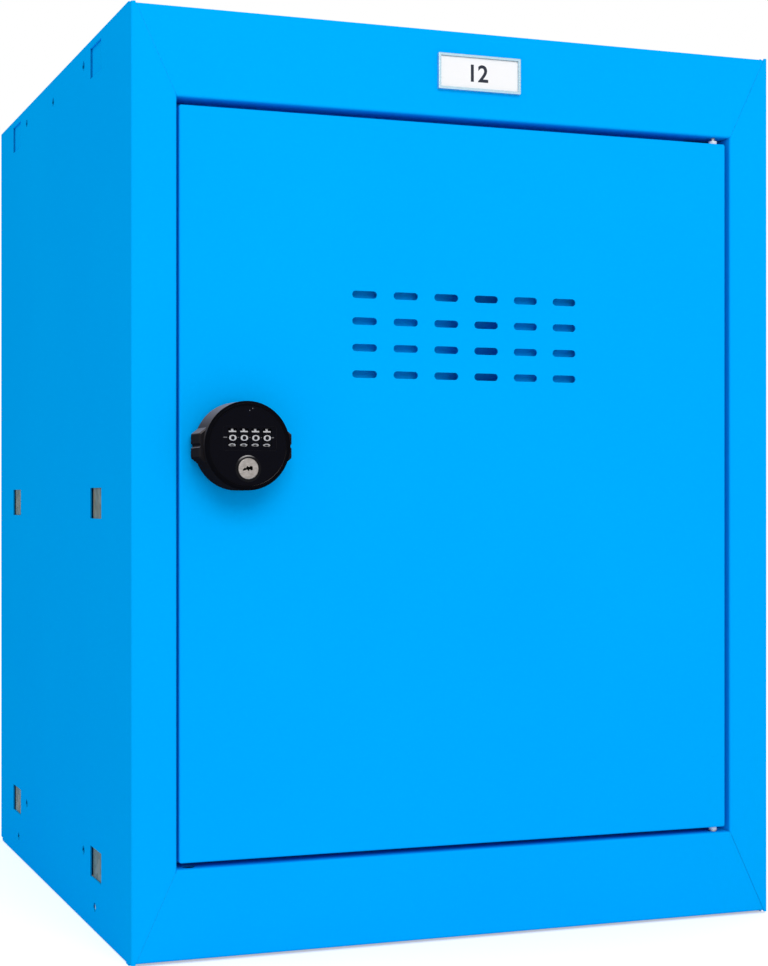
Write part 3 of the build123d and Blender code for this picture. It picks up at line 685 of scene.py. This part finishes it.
def printWheel(number, look=wheelPrint):
    # Each figure is laid on the wheel: its height becomes an angle, so a point goes to
    # the axis plus the radius turned by that angle, and its width stays along the axis.
    wheel = "code_wheel_" + str(number + 1)
    axis = middle(wheel)
    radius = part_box(wheel)[1].z - axis.z
    reach = radius + look["proud"]
    share = math.radians(360 / look["digits"])
    allPoints, allFaces, count = [], [], 0
    for digit in range(look["digits"]):
        x, z, faces = textMesh(str(digit), look["digitHigh"], look["cut"], look["bold"])
        x = x / np.ptp(x) * look["digitWide"] * (look["oneWide"] if digit == 1 else 1.0)
        if digit == 1:
            half, low = look["digitWide"] / 2, -look["digitHigh"] / 2
            high = low + look["footHigh"]
            faces = np.concatenate([faces, np.array([[0, 1, 2], [0, 2, 3]]) + len(x)])
            x = np.concatenate([x, [-half, half, half, -half]])
            z = np.concatenate([z, [low, low, high, high]])
        steps = (digit - look["shown"][number]) % look["digits"]
        angle = z / radius + share * steps + look["lean"]
        points = np.stack([
            x + axis.x,
            axis.y - reach * np.cos(angle),
            axis.z + reach * np.sin(angle),
        ], axis=1)
        allPoints.append(points)
        allFaces.append(faces + count)
        count += len(points)
    addPiece("wheel_digits_" + str(number + 1), np.concatenate(allPoints),
             np.concatenate(allFaces), "whitePrint", "wheel_" + str(number + 1))


for number in range(4):
    printWheel(number)
print("wheel digits laid on")


# Index lines and dots printed on the lock's face

faceMarks = {
    "recess": 0.0003,
    "thick": 0.00004,
    "lineZ": 0.0044,
    "lines": [              # across, long, high
        (-0.0129, 0.0023, 0.00045),
        (-0.0055, 0.0008, 0.00025),
        (0.001, 0.0008, 0.00025),
        (0.0075, 0.0008, 0.00025),
        (0.0141, 0.0013, 0.00045),
    ],
    "dots": [(0.0009, 0.019, 0.00026), (0.0026, 0.0201, 0.00026)],      # across, up, half size
    "corners": 20,
    "power": 0.5,           # 1 makes an ellipse, less a squarer pad
}


def roundedPads(places, front, rear, look=faceMarks):
    # Each pad is rings of one outline, a superellipse of half sizes a and b: the rear ring, the
    # front ring and the middle point. So x is a times cos to a power, and z is b times sin.
    corners = look["corners"]
    turn = np.linspace(0, 2 * math.pi, corners, endpoint=False)
    cosine = np.sign(np.cos(turn)) * np.abs(np.cos(turn)) ** look["power"]
    sine = np.sign(np.sin(turn)) * np.abs(np.sin(turn)) ** look["power"]
    ring = np.arange(corners)
    after = np.roll(ring, -1)
    sides = np.stack([ring, after, after + corners, ring + corners], axis=1)
    cap = np.stack([ring + corners, after + corners, np.full(corners, 2 * corners)], axis=1)
    points, faces, count = [], [], 0
    for x, z, a, b in places:
        outer = np.stack([x + a * cosine, np.full(corners, rear), z + b * sine], axis=1)
        inner = np.stack([x + a * cosine, np.full(corners, front), z + b * sine], axis=1)
        points += [outer, inner, np.array([[x, front, z]])]
        faces += (sides + count).tolist() + (cap + count).tolist()
        count += 2 * corners + 1
    return np.concatenate(points), faces


def printFace(look=faceMarks):
    thick = look["thick"]
    axis = lockPlaces["axis"]
    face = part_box("face_plate")[0].y
    floor = face + look["recess"]
    lineZ = axis.z + look["lineZ"]
    lines = [(axis.x + x, lineZ, long / 2, high / 2) for x, long, high in look["lines"]]
    points, faces = roundedPads(lines, floor - thick, floor + thick)
    addPiece("index_lines", points, faces, "greyPrint", "knob")
    dots = [(axis.x + x, axis.z + z, size, size) for x, z, size in look["dots"]]
    points, faces = roundedPads(dots, face - thick, face + thick)
    addPiece("index_dots", points, faces, "greyPrint", "knob")


printFace()
print("face marks laid on")


# Plain number on the label

labelNumber = {"text": "12", "high": 0.01, "cut": 0.002, "bold": 0.02, "proud": 0.00003}


def printLabel(look=labelNumber):
    low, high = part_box("label_insert")
    x, z, faces = textMesh(look["text"], look["high"], look["cut"], look["bold"])
    points = np.stack([
        x + (low.x + high.x) / 2,
        np.full(len(x), low.y - look["proud"]),
        z + (low.z + high.z) / 2,
    ], axis=1)
    addPiece("label_number", points, faces, "darkPrint", "carcass")


printLabel()
print("label number laid on")


# Floor, world and lamps

studio = {
    "floorHalf": 6.0,
    "floorColour": (0.93, 0.93, 0.93),
    "floorRough": 0.9,
    "floorLift": 0.45,
    "underHalf": 0.164,         # half width of the patch under the locker that stays dark
    "underFade": 0.003,
    "ambient": 0.6,
    "lamps": {
        "frontSoftbox": {
            "place": (-0.35, -2.45, 1.6), "aim": (0, 0, 0.26), "size": (1.6, 1.2), "power": 29.0,
        },
        "sideSoftbox": {
            "place": (-1.3, -0.1, 1.7), "aim": (-0.2, 0, 0.4), "size": (0.8, 0.8), "power": 3.4,
        },
    },
}


def seenDirectly(tree):
    # 1 for what the camera, a gloss or a clear piece sees, and 0 for what only lights the object
    rays = addNode(tree, "ShaderNodeLightPath").outputs
    direct = addMath(tree, "MAXIMUM", rays["Is Camera Ray"], rays["Is Glossy Ray"])
    return addMath(tree, "MAXIMUM", direct, rays["Is Transmission Ray"])


def makeFloor(look=studio):
    reach, under = look["floorHalf"], look["underHalf"]
    corners = [(-reach, -reach, 0), (reach, -reach, 0), (reach, reach, 0), (-reach, reach, 0)]
    mesh = bpy.data.meshes.new("floor")
    mesh.from_pydata(corners, [], [(0, 1, 2, 3)])
    material = bpy.data.materials.new("paleFloor")
    material.use_nodes = True
    tree = material.node_tree
    shader = tree.nodes["Principled BSDF"]
    shader.inputs["Base Color"].default_value = (*look["floorColour"], 1)
    shader.inputs["Roughness"].default_value = look["floorRough"]
    shader.inputs["Specular IOR Level"].default_value = 0.0
    shader.inputs["Emission Color"].default_value = (1, 1, 1, 1)
    place = splitAxes(tree, objectPlace(tree))
    away = [addMath(tree, "ABSOLUTE", place[axis]) for axis in "XY"]
    away = addMath(tree, "MAXIMUM", *away)
    lift = addRange(tree, away, (under, under + look["underFade"]), (off, look["floorLift"]))
    lift = addMath(tree, "MULTIPLY", seenDirectly(tree), lift)
    tree.links.new(lift, shader.inputs["Emission Strength"])
    mesh.materials.append(material)
    floor = bpy.data.objects.new("floor", mesh)
    scene.collection.objects.link(floor)


def makeWorld(look=studio):
    world = bpy.data.worlds.new("studio")
    scene.world = world
    world.use_nodes = True
    tree = world.node_tree
    background = tree.nodes["Background"]
    background.inputs["Color"].default_value = (1, 1, 1, 1)
    strength = addRange(tree, seenDirectly(tree), (off, on), (look["ambient"], 1.0))
    tree.links.new(strength, background.inputs["Strength"])


def makeLamps(look=studio):
    for name, lamp in look["lamps"].items():
        light = bpy.data.lights.new(name, "AREA")
        light.shape = "RECTANGLE"
        light.size, light.size_y = lamp["size"]
        light.energy = lamp["power"]
        holder = bpy.data.objects.new(name, light)
        holder.location = lamp["place"]
        away = np.subtract(lamp["place"], lamp["aim"])
        flat = math.hypot(away[0], away[1])
        holder.rotation_euler = (math.atan2(flat, away[2]), 0, math.atan2(away[0], -away[1]))
        scene.collection.objects.link(holder)


makeFloor()
makeWorld()
makeLamps()
print("studio set")
